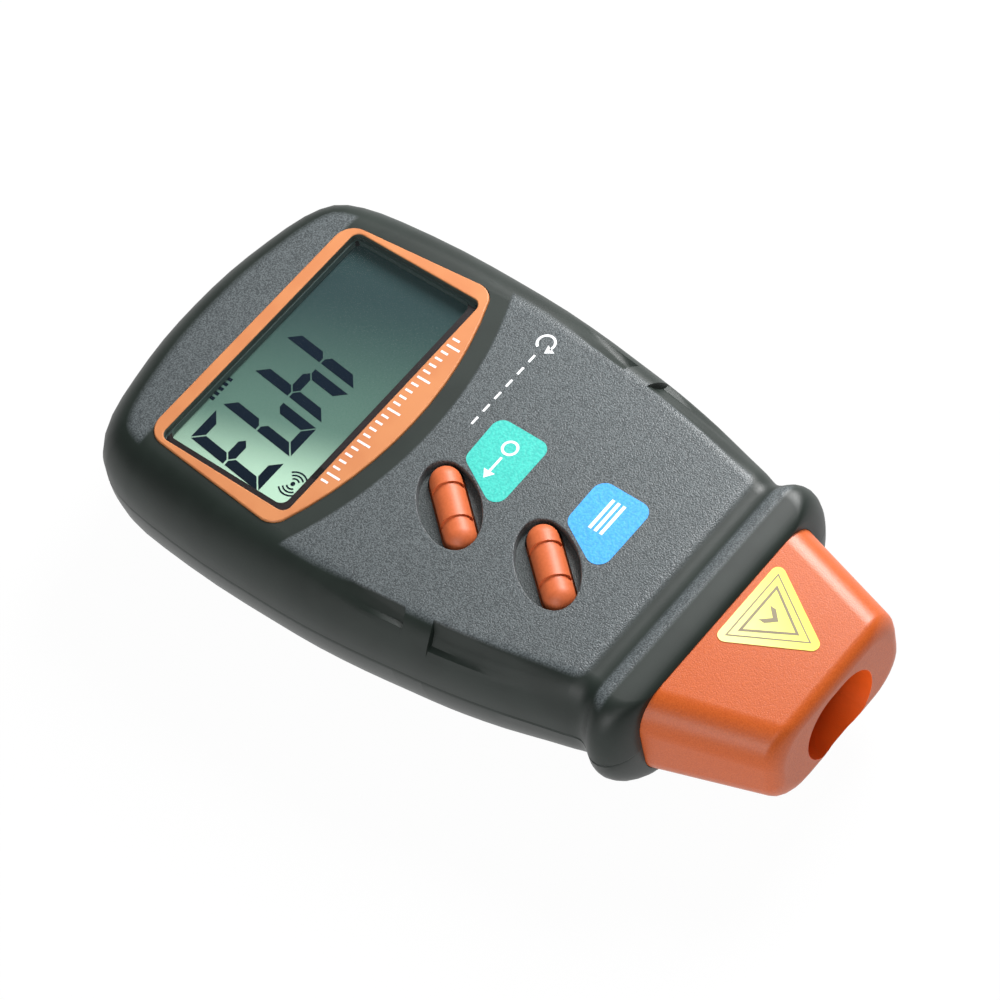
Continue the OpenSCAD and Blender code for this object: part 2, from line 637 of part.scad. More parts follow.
module lcd_holder() color([0.88, 0.88, 0.86]) {
    difference() {
        block(-lcd_half_w - holder_wall, lcd_half_w + holder_wall, lcd_rear_y - holder_wall,
            lcd_front_y + holder_wall, board_top, lcd_top);
        block(-lcd_half_w - fit_gap, lcd_half_w + fit_gap, lcd_rear_y - fit_gap, lcd_front_y + fit_gap,
            lcd_under, lcd_top + cut);
        block(-lcd_half_w + holder_ledge, lcd_half_w - holder_ledge, lcd_rear_y + fit_gap,
            lcd_front_y - fit_gap, board_top - cut, lcd_top + cut);
    }
}
module zebra_strips() color([0.80, 0.55, 0.60]) for (y = [lcd_rear_y + zebra_inset,
    lcd_front_y - zebra_inset - zebra_w])
    block(zebra_w - lcd_half_w, lcd_half_w - zebra_w, y, y + zebra_w, board_top, lcd_under);

// Board: wide under the display, narrow between the front bosses
board_half_rear = lcd_half_w + holder_wall;
board_half_front = half_w * 0.45;
board_rear_y = lcd_rear_y - holder_wall;
board_wide_y = along(0.498);
board_narrow_y = along(0.292);
board_front_gap = 0.5;
board_front_y = carrier_rear_y - board_front_gap;
board_corner_r = 1.5;
module main_board() color([0.10, 0.42, 0.24]) {
    difference() {
        translate([0, 0, board_under]) linear_extrude(board_t) polygon(rounded(
            [[-board_half_rear, board_rear_y], [board_half_rear, board_rear_y],
            [board_half_rear, board_wide_y], [board_half_front, board_narrow_y],
            [board_half_front, board_front_y], [-board_half_front, board_front_y],
            [-board_half_front, board_narrow_y], [-board_half_rear, board_wide_y]],
            [for (i = [0 : 7]) board_corner_r]));
        for (p = board_screw_places) screw_well(p, board_under - cut, board_t + 2 * cut,
            screw_d + 2 * fit_gap);
    }
}

// Parts soldered under the board, in front of the battery bay
blob_r = 8;
blob_t = 1.6;
blob_steps = 6;
blob_x = -half_w * 0.1;
blob_ball_r = (blob_r * blob_r + blob_t * blob_t) / (2 * blob_t);
blob_angle = asin(blob_r / blob_ball_r);
module processor_blob() color([0.05, 0.05, 0.06]) translate([blob_x, along(0.268), board_under])
    rotate([180, 0, 0]) rotate_extrude() polygon(concat([[0, 0]], [for (i = [0 : blob_steps])
        let (a = blob_angle * (1 - i / blob_steps))
        [blob_ball_r * sin(a), blob_t - blob_ball_r * (1 - cos(a))]]));
crystal_w = 4.4;
crystal_l = 10.6;
crystal_h = 3.4;
module quartz_crystal() color([0.75, 0.76, 0.78])
    translate([half_w * 0.27, along(0.351), board_under - crystal_h])
        slot(crystal_l - crystal_w, crystal_w, crystal_h);
can_d = 6.3;
can_h = 8;
can_foot = 0.8;
module can(x, y, d, h) translate([x, y, board_under - h]) {
    cylinder(d = d, h = h - can_foot);
    cylinder(d = d * 0.8, h = h);
}
module capacitors() color([0.10, 0.16, 0.35]) {
    can(half_w * 0.27, along(0.268), can_d, can_h);
    can(half_w * 0.27, along(0.191), can_d * 0.8, can_h * 0.88);
}
resistor_size = [3.2, 1.6, 0.7];
resistor_count = 7;
resistor_gap = 0.7;
resistor_x = blob_x - blob_r - resistor_gap - resistor_size[0];
module board_resistors() color([0.14, 0.14, 0.16]) for (i = [0 : resistor_count - 1])
    translate([resistor_x, along(0.386) + 2 * resistor_size[1] * i, board_under - resistor_size[2]])
        cube(resistor_size);

// Push switches on the board's upper face
switch_size = 5.2;
switch_h = 1.1;
plunger_d = 2.4;
module key_switch(y) translate([button_x, y, board_top]) difference() {
    translate([-switch_size / 2, -switch_size / 2, 0]) cube([switch_size, switch_size, switch_h]);
    translate([0, 0, -cut]) cylinder(d = plunger_d + 2 * run_gap, h = switch_h + 2 * cut);
}
module test_switch() color([0.20, 0.20, 0.22]) key_switch(button_places[0]);
module mem_switch() color([0.20, 0.20, 0.22]) key_switch(button_places[1]);
module key_plunger(y) translate([button_x, y, board_top + button_travel + fit_gap])
    cylinder(d = plunger_d, h = flange_under - board_top - button_travel - fit_gap);
module test_plunger() color([0.85, 0.85, 0.82]) key_plunger(button_places[0]);
module mem_plunger() color([0.85, 0.85, 0.82]) key_plunger(button_places[1]);

// Buttons: a slot-shaped stem with a rounded crest, two ring grooves and a retaining flange
crest_z = case_h + button_proud - button_w / 2;
ring_share = 0.6;
ring_w = 0.9;
ring_depth = 0.35;
module push_button(y) translate([button_x, y, 0]) rotate(button_angle) {
    translate([0, 0, flange_under]) slot(button_reach, button_w + 2 * flange_rim, flange_t);
    difference() {
        union() {
            translate([0, 0, dish_under]) slot(button_reach, button_w, crest_z - dish_under);
            translate([-button_reach / 2, 0, crest_z]) rotate([0, 90, 0])
                cylinder(d = button_w, h = button_reach);
            for (s = [-1, 1]) translate([s * button_reach / 2, 0, crest_z]) sphere(d = button_w);
        }
        for (s = [-1, 1]) translate([s * button_reach / 2 * ring_share - ring_w / 2, 0, crest_z])
            rotate([0, 90, 0]) difference() {
                cylinder(d = button_w + 2 * cut, h = ring_w);
                translate([0, 0, -cut]) cylinder(d = button_w - 2 * ring_depth, h = ring_w + 2 * cut);
                translate([0, -button_w, -cut]) cube([button_w, 2 * button_w, ring_w + 2 * cut]);
            }
        block(-button_reach, button_reach, -button_w, button_w, flange_under - button_w, flange_under);
    }
}
module test_button() color([0.82, 0.38, 0.22]) push_button(button_places[0]);
module mem_button() color([0.82, 0.38, 0.22]) push_button(button_places[1]);

// Optics: a black block holds the laser barrel and the receiver side by side behind the tunnel
carrier_top_z = 2 * mouth_z - carrier_foot_z;
lens_depth = 1;
laser_front_y = carrier_front_y - lens_depth;
laser_rear_y = laser_front_y - laser_l;
laser_window_d = 4;
laser_window_t = 1.2;
diode_d = 5;
diode_l = 5.6;
diode_rim_d = 5.8;
diode_rim_l = 1;
diode_rear_y = carrier_rear_y + diode_rim_l;
lens_t = 2.6;
lens_edge_t = 1.2;
laser_x = nose_x - optics_pitch / 2;
receiver_x = nose_x + optics_pitch / 2;
module along_y(x, y0, y1, d) translate([x, y1, mouth_z]) rotate([90, 0, 0]) cylinder(d = d, h = y1 - y0);
module optics_carrier() color([0.08, 0.08, 0.09]) {
    difference() {
        union() {
            block(nose_x - carrier_half, nose_x + carrier_half, carrier_rear_y, carrier_front_y,
                carrier_foot_z, carrier_top_z);
            block(nose_x - carrier_half - carrier_ear, nose_x + carrier_half + carrier_ear, carrier_rear_y,
                carrier_ear_y + carrier_ear / 2, carrier_foot_z, carrier_foot_z + carrier_ear_t);
        }
        along_y(laser_x, laser_rear_y, carrier_front_y + cut, laser_d + fit_gap);
        along_y(laser_x, carrier_rear_y - cut, laser_rear_y + cut, laser_d * 0.6);
        along_y(receiver_x, laser_front_y - lens_t, carrier_front_y + cut, lens_d + fit_gap);
        along_y(receiver_x, diode_rear_y + diode_rim_l, laser_front_y, diode_d + 2 * fit_gap);
        along_y(receiver_x, carrier_rear_y - cut, diode_rear_y + diode_rim_l, diode_rim_d + 2 * fit_gap);
        for (s = [-1, 1]) screw_well([nose_x + s * carrier_screw_x, carrier_ear_y], carrier_foot_z - cut,
            carrier_ear_t + 2 * cut, screw_d + 2 * fit_gap);
    }
}
module laser_module() color([0.80, 0.62, 0.28]) {
    difference() {
        along_y(laser_x, laser_rear_y, laser_front_y, laser_d);
        along_y(laser_x, laser_front_y - laser_window_t, laser_front_y + cut, laser_window_d + fit_gap);
    }
}
module laser_lens() color([0.85, 0.25, 0.22, 0.8])
    along_y(laser_x, laser_front_y - laser_window_t, laser_front_y - fit_gap, laser_window_d);
lens_ball_r = (lens_d * lens_d / 4 + pow(lens_t - lens_edge_t, 2)) / (2 * (lens_t - lens_edge_t));
module receiver_lens() color([0.80, 0.88, 0.92, 0.6]) intersection() {
    along_y(receiver_x, laser_front_y - lens_t, laser_front_y, lens_d);
    translate([receiver_x, laser_front_y - lens_ball_r, mouth_z]) sphere(r = lens_ball_r, $fn = 64);
}
module photodiode() color([0.16, 0.10, 0.12]) {
    along_y(receiver_x, diode_rear_y, diode_rear_y + diode_rim_l - fit_gap, diode_rim_d);
    along_y(receiver_x, diode_rear_y, diode_rear_y + diode_l - diode_d / 2, diode_d);
    translate([receiver_x, diode_rear_y + diode_l - diode_d / 2, mouth_z]) sphere(d = diode_d);
}

// Round lead in a plane across the case: straight runs joined by quarter bends
lead_sides = 16;
lead_bend_r = 1.5;
module bend(x, y, z, start, d) translate([x, y, z]) rotate([90, 0, 90]) rotate(start)
    rotate_extrude(angle = 90, $fn = lead_sides) translate([lead_bend_r, 0]) circle(d = d, $fn = lead_sides);
module upright(x, y, z0, z1, d) translate([x, y, z0]) cylinder(d = d, h = z1 - z0, $fn = lead_sides);
module level_run(x, y0, y1, z, d) translate([x, y1, z]) rotate([90, 0, 0])
    cylinder(d = d, h = y1 - y0, $fn = lead_sides);
lead_d = 1.1;
thin_lead_d = 0.7;
clip_y = battery_front_y + run_gap;
clip_half = 6.2;
clip_top = battery_mid_z + clip_half;
lead_z = (seam_z + board_under) / 2;
lead_start_y = clip_y + clip_t / 2;
lead_end_y = bay_front_y + bay_wall + lead_d * 3.5;
module battery_lead(x) {
    upright(x, lead_start_y, clip_top, lead_z - lead_bend_r, lead_d);
    bend(x, lead_start_y + lead_bend_r, lead_z - lead_bend_r, 90, lead_d);
    level_run(x, lead_start_y + lead_bend_r, lead_end_y - lead_bend_r, lead_z, lead_d);
    bend(x, lead_end_y - lead_bend_r, lead_z + lead_bend_r, 270, lead_d);
    upright(x, lead_end_y, lead_z + lead_bend_r, board_under, lead_d);
}
module battery_lead_red() color([0.75, 0.10, 0.08]) battery_lead(-optics_pitch / 2);
module battery_lead_black() color([0.07, 0.07, 0.08]) battery_lead(optics_pitch / 2);
rise_y = board_front_y - thin_lead_d * 3.7;
module optics_lead(x, y) {
    upright(x, rise_y, mouth_z + lead_bend_r, board_under, thin_lead_d);
    bend(x, rise_y + lead_bend_r, mouth_z + lead_bend_r, 180, thin_lead_d);
    level_run(x, rise_y + lead_bend_r, y, mouth_z, thin_lead_d);
}

stud_pitch = 12.7;
male_d = 5.7;
female_d = 8.2;
module battery() color([0.10, 0.12, 0.16])
    rounded_block(-battery_w / 2, battery_w / 2, battery_rear_y, battery_front_y, battery_z,
        battery_z + battery_t, battery_w * 0.06);
module stud(x, d, grow, y1) translate([x, y1, battery_mid_z]) rotate([90, 0, 0])
    cylinder(d = d + grow, h = y1 - battery_front_y);
module battery_terminals() color([0.78, 0.78, 0.76]) {
    difference() {
        union() {
            stud(-stud_pitch / 2, male_d, 0, battery_front_y + stud_h);
            stud(stud_pitch / 2, female_d, 0, battery_front_y + stud_h);
        }
        translate([0, stud_h * 0.3, 0]) stud(stud_pitch / 2, male_d, 0, battery_front_y + stud_h + cut);
    }
}
module battery_clip() color([0.09, 0.09, 0.10]) {
    difference() {
        block(-stud_pitch, stud_pitch, clip_y, clip_y + clip_t, battery_mid_z - clip_half, clip_top);
        translate([-stud_pitch / 2, clip_y - cut, battery_mid_z]) rotate([-90, 0, 0])
            cylinder(d = male_d + 2 * fit_gap, h = cut + stud_h + run_gap);
        translate([stud_pitch / 2, clip_y - cut, battery_mid_z]) rotate([-90, 0, 0])
            cylinder(d = female_d + 2 * fit_gap, h = cut + stud_h + run_gap);
    }
}

module laser_leads() color([0.70, 0.12, 0.10]) for (s = [-1, 1])
    optics_lead(laser_x + s * thin_lead_d, laser_rear_y);
module photodiode_leads() color([0.70, 0.70, 0.72]) for (s = [-1, 1])
    optics_lead(receiver_x + s * diode_d / 4, diode_rear_y);

module case_screws() color([0.60, 0.61, 0.63]) for (p = case_screw_places)
    screw(p, head_seat_z, true, screw_l);
module board_screws() color([0.60, 0.61, 0.63]) for (p = board_screw_places)
    screw(p, board_under, true, board_screw_l);
module carrier_screws() color([0.60, 0.61, 0.63]) for (s = [-1, 1])
    screw([nose_x + s * carrier_screw_x, carrier_ear_y], carrier_foot_z + carrier_ear_t, false,
        carrier_screw_l);

// Aiming sticker on the sloping top of the nose
sticker_w = 17.5;
sticker_l = 15;
sticker_t = 0.12;
sticker_x = -3.9;
sticker_y = 1.2;
sticker_r = 1.2;
nose_slope = atan((nose_base_top - nose_tip_top) / (nose_front_y - nose_base_y));
module aiming_sticker() color([0.95, 0.93, 0.45]) translate([sticker_x, nose_base_y, nose_base_top])
    rotate([-nose_slope, 0, 0]) translate([0, sticker_y, 0]) linear_extrude(sticker_t)
        polygon(rounded([[-sticker_w / 2, 0], [sticker_w / 2, 0], [0, sticker_l]],
            [sticker_r, sticker_r, sticker_r]));

top_shell();
bottom_shell();
battery_door();
battery_pad();
nose_cone();
display_bezel();
display_window();
lcd_glass();
lcd_reflector();
lcd_holder();
zebra_strips();
main_board();
processor_blob();
quartz_crystal();
capacitors();
board_resistors();
test_switch();
mem_switch();
test_plunger();
mem_plunger();
test_button();
mem_button();
optics_carrier();
laser_module();
laser_lens();
receiver_lens();
photodiode();
laser_leads();
photodiode_leads();
battery();
battery_terminals();
battery_clip();
battery_lead_red();
battery_lead_black();
case_screws();
board_screws();
carrier_screws();
aiming_sticker();
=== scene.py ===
import json
from math import atan, cos, pi, radians, sin, tan

import bmesh
import bpy
from mathutils import Matrix, Vector

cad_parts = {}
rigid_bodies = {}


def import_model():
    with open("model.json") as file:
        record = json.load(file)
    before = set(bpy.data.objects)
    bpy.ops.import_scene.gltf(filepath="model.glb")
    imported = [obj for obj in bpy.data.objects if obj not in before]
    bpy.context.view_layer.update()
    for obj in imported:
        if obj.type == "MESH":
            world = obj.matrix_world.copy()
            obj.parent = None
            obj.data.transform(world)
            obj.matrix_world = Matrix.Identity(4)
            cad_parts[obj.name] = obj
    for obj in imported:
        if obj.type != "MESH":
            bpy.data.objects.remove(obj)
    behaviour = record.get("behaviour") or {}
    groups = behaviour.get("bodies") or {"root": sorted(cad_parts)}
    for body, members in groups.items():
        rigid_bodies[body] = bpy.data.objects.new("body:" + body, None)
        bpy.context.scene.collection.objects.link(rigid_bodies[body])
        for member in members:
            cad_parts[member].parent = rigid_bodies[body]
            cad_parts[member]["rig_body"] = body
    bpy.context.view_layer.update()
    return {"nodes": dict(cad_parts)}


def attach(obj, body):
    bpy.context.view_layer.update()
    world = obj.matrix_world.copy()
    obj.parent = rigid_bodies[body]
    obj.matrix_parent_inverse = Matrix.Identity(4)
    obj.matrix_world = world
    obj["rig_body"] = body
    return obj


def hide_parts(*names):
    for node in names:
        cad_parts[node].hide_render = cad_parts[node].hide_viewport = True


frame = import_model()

MM = 0.001

# Camera: it stands above the front right of the case and looks back down at the display, as the
# photograph does. The lens is long, so the far end of the case hardly shrinks.
camera_data = bpy.data.cameras.new("camera")
camera_data.sensor_width = 36
camera_data.lens = 149.11
camera_data.clip_start = 0.01
camera = bpy.data.objects.new("camera", camera_data)
camera_right = Vector((-0.62660, 0.76665, -0.13984))
camera_back = Vector((0.36761, 0.44905, 0.81438))
camera_up = camera_back.cross(camera_right)
camera.matrix_world = Matrix.Translation((0.24155, 0.29541, 0.55525)) @ Matrix(
    (camera_right, camera_up, camera_back)).transposed().to_4x4()
bpy.context.scene.collection.objects.link(camera)
bpy.context.scene.camera = camera
bpy.context.scene.view_settings.view_transform = "Standard"


# Studio: a plain pale table, a pale room all round and soft boxes overhead. The table and the room
# show white to the camera and in reflections, and the table keeps the soft shadow of the case.
def shown_white(tree):
    """1 for the rays that show the room: from the camera, in a mirror or through glass."""
    rays = tree.nodes.new("ShaderNodeLightPath")
    seen = rays.outputs["Is Camera Ray"]
    for name in ("Is Glossy Ray", "Is Transmission Ray"):
        most = tree.nodes.new("ShaderNodeMath")
        most.operation = "MAXIMUM"
        tree.links.new(seen, most.inputs[0])
        tree.links.new(rays.outputs[name], most.inputs[1])
        seen = most.outputs[0]
    return seen


room_light = 0.13
table_white = 0.97
world = bpy.data.worlds.new("studio")
world.use_nodes = True
bpy.context.scene.world = world
tree = world.node_tree
background = tree.nodes["Background"]
background.inputs["Color"].default_value = (1, 1, 1, 1)
level = tree.nodes.new("ShaderNodeMapRange")
level.inputs["To Min"].default_value = room_light
level.inputs["To Max"].default_value = 1
rays = tree.nodes.new("ShaderNodeLightPath")
tree.links.new(rays.outputs["Is Camera Ray"], level.inputs["Value"])
tree.links.new(level.outputs["Result"], background.inputs["Strength"])

table_mesh = bpy.data.meshes.new("table")
form = bmesh.new()
bmesh.ops.create_grid(form, x_segments=1, y_segments=1, size=3)
form.to_mesh(table_mesh)
form.free()
table = bpy.data.objects.new("table", table_mesh)
bpy.context.scene.collection.objects.link(table)
white = bpy.data.materials.new("table_white")
white.use_nodes = True
tree = white.node_tree
matt = tree.nodes["Principled BSDF"]
matt.inputs["Base Color"].default_value = (0.86, 0.86, 0.86, 1)
matt.inputs["Roughness"].default_value = 0.9
glow = tree.nodes.new("ShaderNodeEmission")
glow.inputs["Strength"].default_value = 1
share = tree.nodes.new("ShaderNodeMath")
share.operation = "MULTIPLY"
share.inputs[1].default_value = table_white
blend = tree.nodes.new("ShaderNodeMixShader")
tree.links.new(shown_white(tree), share.inputs[0])
tree.links.new(share.outputs[0], blend.inputs[0])
tree.links.new(matt.outputs[0], blend.inputs[1])
tree.links.new(glow.outputs[0], blend.inputs[2])
tree.links.new(blend.outputs[0], tree.nodes["Material Output"].inputs["Surface"])
table_mesh.materials.append(white)

for name, place, size, watts in (
        ("softbox_above", (-0.26, -0.02, 0.25), 0.16, 2.6),
        ("softbox_rear", (-0.42, -0.44, 0.48), 0.35, 0.5),
        ("softbox_front", (0.70, 0.24, 0.36), 0.45, 3.2),
        ("softbox_high", (0.31, 0.40, 0.72), 0.22, 0.9),
        ("softbox_side", (0.80, -0.10, 0.25), 0.6, 1.2)):
    lamp_data = bpy.data.lights.new(name, "AREA")
    lamp_data.size = size
    lamp_data.energy = watts
    lamp = bpy.data.objects.new(name, lamp_data)
    lamp.location = place
    lamp.rotation_euler = (Vector((0, 0, 0.02)) - Vector(place)).to_track_quat("-Z", "Y").to_euler()
    bpy.context.scene.collection.objects.link(lamp)


# Upper half of the case: moulded dark grey plastic. The flat panel, the upper walls of the dishes and
# the crest of the collar have a spark-eroded grain. The shoulders, the groove and the border round
# the display are satin. Low in the dishes the grain fades into the darker satin, partly as painted shade.
def srgb(red, green, blue):
    """A colour of the screen, 0 to 255, as Blender's linear colour."""
    return tuple(v / 255 / 12.92 if v < 11 else ((v / 255 + 0.055) / 1.055) ** 2.4
                 for v in (red, green, blue)) + (1,)


def new_material(name):
    material = bpy.data.materials.new(name)
    material.use_nodes = True
    return material, material.node_tree, material.node_tree.nodes["Principled BSDF"]


def calc(tree, operation, *values):
    """A Math node on sockets or numbers."""
    node = tree.nodes.new("ShaderNodeMath")
    node.operation = operation
    for i, value in enumerate(values):
        if isinstance(value, (int, float)):
            node.inputs[i].default_value = value
        else:
            tree.links.new(value, node.inputs[i])
    return node.outputs[0]


def ramp(tree, value, low, high, to_low=0.0, to_high=1.0):
    """The value from low to high, as a smooth step from to_low to to_high."""
    node = tree.nodes.new("ShaderNodeMapRange")
    node.interpolation_type = "SMOOTHSTEP"
    for name, v in (("From Min", low), ("From Max", high), ("To Min", to_low), ("To Max", to_high)):
        node.inputs[name].default_value = v
    tree.links.new(value, node.inputs["Value"])
    return node.outputs["Result"]


def object_axes(tree):
    """The place on the piece, whole and as x, y and z."""
    where = tree.nodes.new("ShaderNodeTexCoord").outputs["Object"]
    split = tree.nodes.new("ShaderNodeSeparateXYZ")
    tree.links.new(where, split.inputs[0])
    return where, split.outputs["X"], split.outputs["Y"], split.outputs["Z"]


def speckle(tree, where, grain, detail=2.0):
    """Noise whose lumps are about one grain across."""
    node = tree.nodes.new("ShaderNodeTexNoise")
    node.inputs["Scale"].default_value = 1 / grain
    node.inputs["Detail"].default_value = detail
    tree.links.new(where, node.inputs["Vector"])
    return node.outputs["Fac"]


def tint(tree, factor, low, high):
    """A colour between two, by a socket. Inputs 6 and 7 of the Mix node are its two colours."""
    node = tree.nodes.new("ShaderNodeMix")
    node.data_type = "RGBA"
    for i, colour in ((6, low), (7, high)):
        if isinstance(colour, tuple):
            node.inputs[i].default_value = colour
        else:
            tree.links.new(colour, node.inputs[i])
    tree.links.new(factor, node.inputs[0])
    return node.outputs[2]


def near(tree, value, middle, reach):
    """1 where the value lies within reach of the middle."""
    return calc(tree, "LESS_THAN", calc(tree, "ABSOLUTE", calc(tree, "SUBTRACT", value, middle)), reach)


def all_of(tree, first, *others):
    """The product of several masks."""
    for mask in others:
        first = calc(tree, "MULTIPLY", first, mask)
    return first


def bump(tree, shader, height, depth):
    """Moves the surface by the height, 0 to 1, times the depth."""
    node = tree.nodes.new("ShaderNodeBump")
    node.inputs["Distance"].default_value = depth
    tree.links.new(height, node.inputs["Height"])
    tree.links.new(node.outputs[0], shader.inputs["Normal"])


def smooth_copy(node, name, material, sharp=28, at_rim=None, rim=0.25 * MM):
    """A copy of a CAD node's skin with its triangles joined and shaded round, in place of the node.
    Its sharp edges at the rim are eased."""
    mesh = frame["nodes"][node].data.copy()
    mesh.name = name
    form = bmesh.new()
    form.from_mesh(mesh)
    bmesh.ops.remove_doubles(form, verts=form.verts, dist=0.002 * MM)
    if at_rim:
        bmesh.ops.dissolve_limit(form, angle_limit=radians(0.2), verts=form.verts, edges=form.edges)
        edges = [e for e in form.edges if e.calc_face_angle(0) > radians(50) and at_rim(e.verts[0].co)
                 and at_rim(e.verts[1].co)]
        bmesh.ops.bevel(form, geom=edges, offset=rim, affect="EDGES", segments=3, profile=0.5, material=-1,
                        clamp_overlap=True)
    for face in form.faces:
        face.smooth = True
        face.material_index = 0
    for edge in form.edges:
        edge.smooth = edge.calc_face_angle(0) < radians(sharp)
    form.to_mesh(mesh)
    form.free()
    if "custom_normal" in mesh.attributes:
        mesh.attributes.remove(mesh.attributes["custom_normal"])
    mesh.materials.clear()
    mesh.materials.append(material)
    piece = bpy.data.objects.new(name, mesh)
    bpy.context.scene.collection.objects.link(piece)
    normals = piece.modifiers.new("normals", "WEIGHTED_NORMAL")
    normals.keep_sharp = True
    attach(piece, frame["nodes"][node]["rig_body"])
    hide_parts(node)
    return piece


panel_z = 28 * MM
window_low = Vector((-24.8, -49.3)) * MM
window_high = Vector((24.8, -22.0)) * MM
window_depth = 0.8 * MM
frame_arc_centre_y = -82.3 * MM
frame_border_r = 69.4 * MM
frame_rear_y = -51.3 * MM
groove_y = 37.2 * MM
crest_y = 40.1 * MM
dishes = Vector((8.4, 9.0)) * MM
dishes_reach = Vector((9.2, 19.0)) * MM
satin = srgb(22, 30, 26)
satin_light = srgb(28, 36, 32)
grained_dark = srgb(52, 57, 59)
grained_light = srgb(88, 94, 96)
lip_shadowed_colour = srgb(34, 22, 24)
lip_lit_colour = srgb(64, 78, 76)

upper_plastic, tree, shader = new_material("upper_case_plastic")
where, x, y, z = object_axes(tree)
behind_groove = calc(tree, "LESS_THAN", y, groove_y)
reach = calc(tree, "SQRT", calc(tree, "ADD", calc(tree, "MULTIPLY", x, x), calc(
    tree, "POWER", calc(tree, "SUBTRACT", y, frame_arc_centre_y), 2.0)))
outside = calc(tree, "MAXIMUM", ramp(tree, reach, frame_border_r - 0.3 * MM, frame_border_r + 0.3 * MM),
               ramp(tree, y, frame_rear_y - 0.5 * MM, frame_rear_y + 0.5 * MM, 1.0, 0.0))
panel = all_of(tree, ramp(tree, z, panel_z - 0.45 * MM, panel_z - 0.05 * MM), outside)
# Partly painted shade: the grain fades out with depth in the dishes, leaving the darker satin low down.
dish_grain_and_shade = all_of(tree, near(tree, x, dishes.x, dishes_reach.x), near(tree, y, dishes.y, dishes_reach.y),
                 ramp(tree, z, panel_z - 3.6 * MM, panel_z - 0.6 * MM))
from_crest = calc(tree, "ABSOLUTE", calc(tree, "SUBTRACT", y, crest_y))
crest = all_of(tree, ramp(tree, from_crest, 0.6 * MM, 1.6 * MM, 1.0, 0.0),
               ramp(tree, z, 26.6 * MM, 27.8 * MM), calc(tree, "SUBTRACT", 1.0, behind_groove))
grained = calc(tree, "ADD", all_of(tree, calc(tree, "MAXIMUM", panel, dish_grain_and_shade), behind_groove), crest)

fine = speckle(tree, where, 0.24 * MM, 1.0)
broad = speckle(tree, where, 9 * MM)
grain_colour = tint(tree, ramp(tree, fine, 0.30, 0.70), grained_dark, grained_light)
satin_colour = tint(tree, ramp(tree, broad, 0.35, 0.65), satin, satin_light)
skin_colour = tint(tree, grained, satin_colour, grain_colour)
# Painted shadow and light on the lip round the window: dark as in shadow on its +X and +Y sides, and painted
# lighter, near the colour of the display, on its -X and -Y sides.
lip = all_of(tree, near(tree, x, 0.0, window_high.x), calc(tree, "GREATER_THAN", y, window_low.y),
             calc(tree, "LESS_THAN", y, window_high.y), calc(tree, "LESS_THAN", z, panel_z - window_depth))
lit_lip_side = calc(tree, "MAXIMUM", calc(tree, "LESS_THAN", y, window_low.y + 0.6 * MM),
                 calc(tree, "LESS_THAN", x, window_low.x + 0.9 * MM))
tree.links.new(tint(tree, lip, skin_colour, tint(tree, lit_lip_side, lip_shadowed_colour, lip_lit_colour)),
               shader.inputs["Base Color"])
tree.links.new(ramp(tree, grained, 0.0, 1.0, 0.46, 0.38), shader.inputs["Roughness"])
shader.inputs["Specular IOR Level"].default_value = 0.34
bump(tree, shader, calc(tree, "MULTIPLY", fine, ramp(tree, grained, 0.0, 1.0, 0.06, 1.0)), 0.08 * MM)


def at_dish_rim(place):
    """True beside the rims of the two dishes, in the plane of the panel."""
    return (abs(place.z - panel_z) < 0.01 * MM and -12 * MM < place.y < 30 * MM
            and abs(place.x - dishes.x) < 10 * MM)


smooth_copy("top_shell", "upper_case", upper_plastic, at_rim=at_dish_rim, rim=0.3 * MM)


# Lower half of the case and the battery door: the same plastic with a satin skin all over.
# They are moulded shells, and the door carries a patch of ribs for the thumb.
def satin_plastic(name, low, high, roughness, grain=0.5 * MM, depth=0.006 * MM, gloss=0.4):
    """Moulded plastic with a faint orange peel and a little drift in its colour."""
    material, tree, shader = new_material(name)
    where = object_axes(tree)[0]
    tree.links.new(tint(tree, ramp(tree, speckle(tree, where, 7 * MM), 0.3, 0.7), low, high),
                   shader.inputs["Base Color"])
    shader.inputs["Roughness"].default_value = roughness
    shader.inputs["Specular IOR Level"].default_value = gloss
    bump(tree, shader, speckle(tree, where, grain), depth)
    return material


lower_plastic = satin_plastic("lower_case_plastic", satin, satin_light, 0.40, gloss=0.34)
door_plastic = satin_plastic("door_plastic", srgb(38, 43, 40), srgb(44, 49, 46), 0.42)
smooth_copy("bottom_shell", "lower_case", lower_plastic)
smooth_copy("battery_door", "sliding_door", door_plastic)

# Nose: orange plastic moulded in one piece with the tunnel behind its mouth. The outside has the
# same fine grain as the panel. The tunnel's colour is painted shade and light: dark red deep inside,
# bright orange towards the mouth.
orange = srgb(188, 88, 32)
orange_deep = srgb(172, 74, 22)
tunnel_lit_orange = srgb(236, 96, 30)
tunnel_shade_red = srgb(104, 10, 2)
mouth_x = -1 * MM
mouth_z = 14.4 * MM
mouth_flat = 1.4 * MM
mouth_r = 6.76 * MM
tunnel_rear_y = 46 * MM
nose_front_y = 66 * MM

nose_plastic, tree, shader = new_material("nose_plastic")
where, x, y, z = object_axes(tree)
fine = speckle(tree, where, 0.22 * MM, 1.0)
aside = calc(tree, "MAXIMUM", calc(tree, "SUBTRACT", calc(tree, "ABSOLUTE", calc(
    tree, "SUBTRACT", x, mouth_x)), mouth_flat), 0.0)
from_axis = calc(tree, "SQRT", calc(tree, "ADD", calc(tree, "POWER", aside, 2.0), calc(
    tree, "POWER", calc(tree, "SUBTRACT", z, mouth_z), 2.0)))
tunnel = all_of(tree, calc(tree, "LESS_THAN", from_axis, mouth_r), calc(tree, "GREATER_THAN", y, tunnel_rear_y))
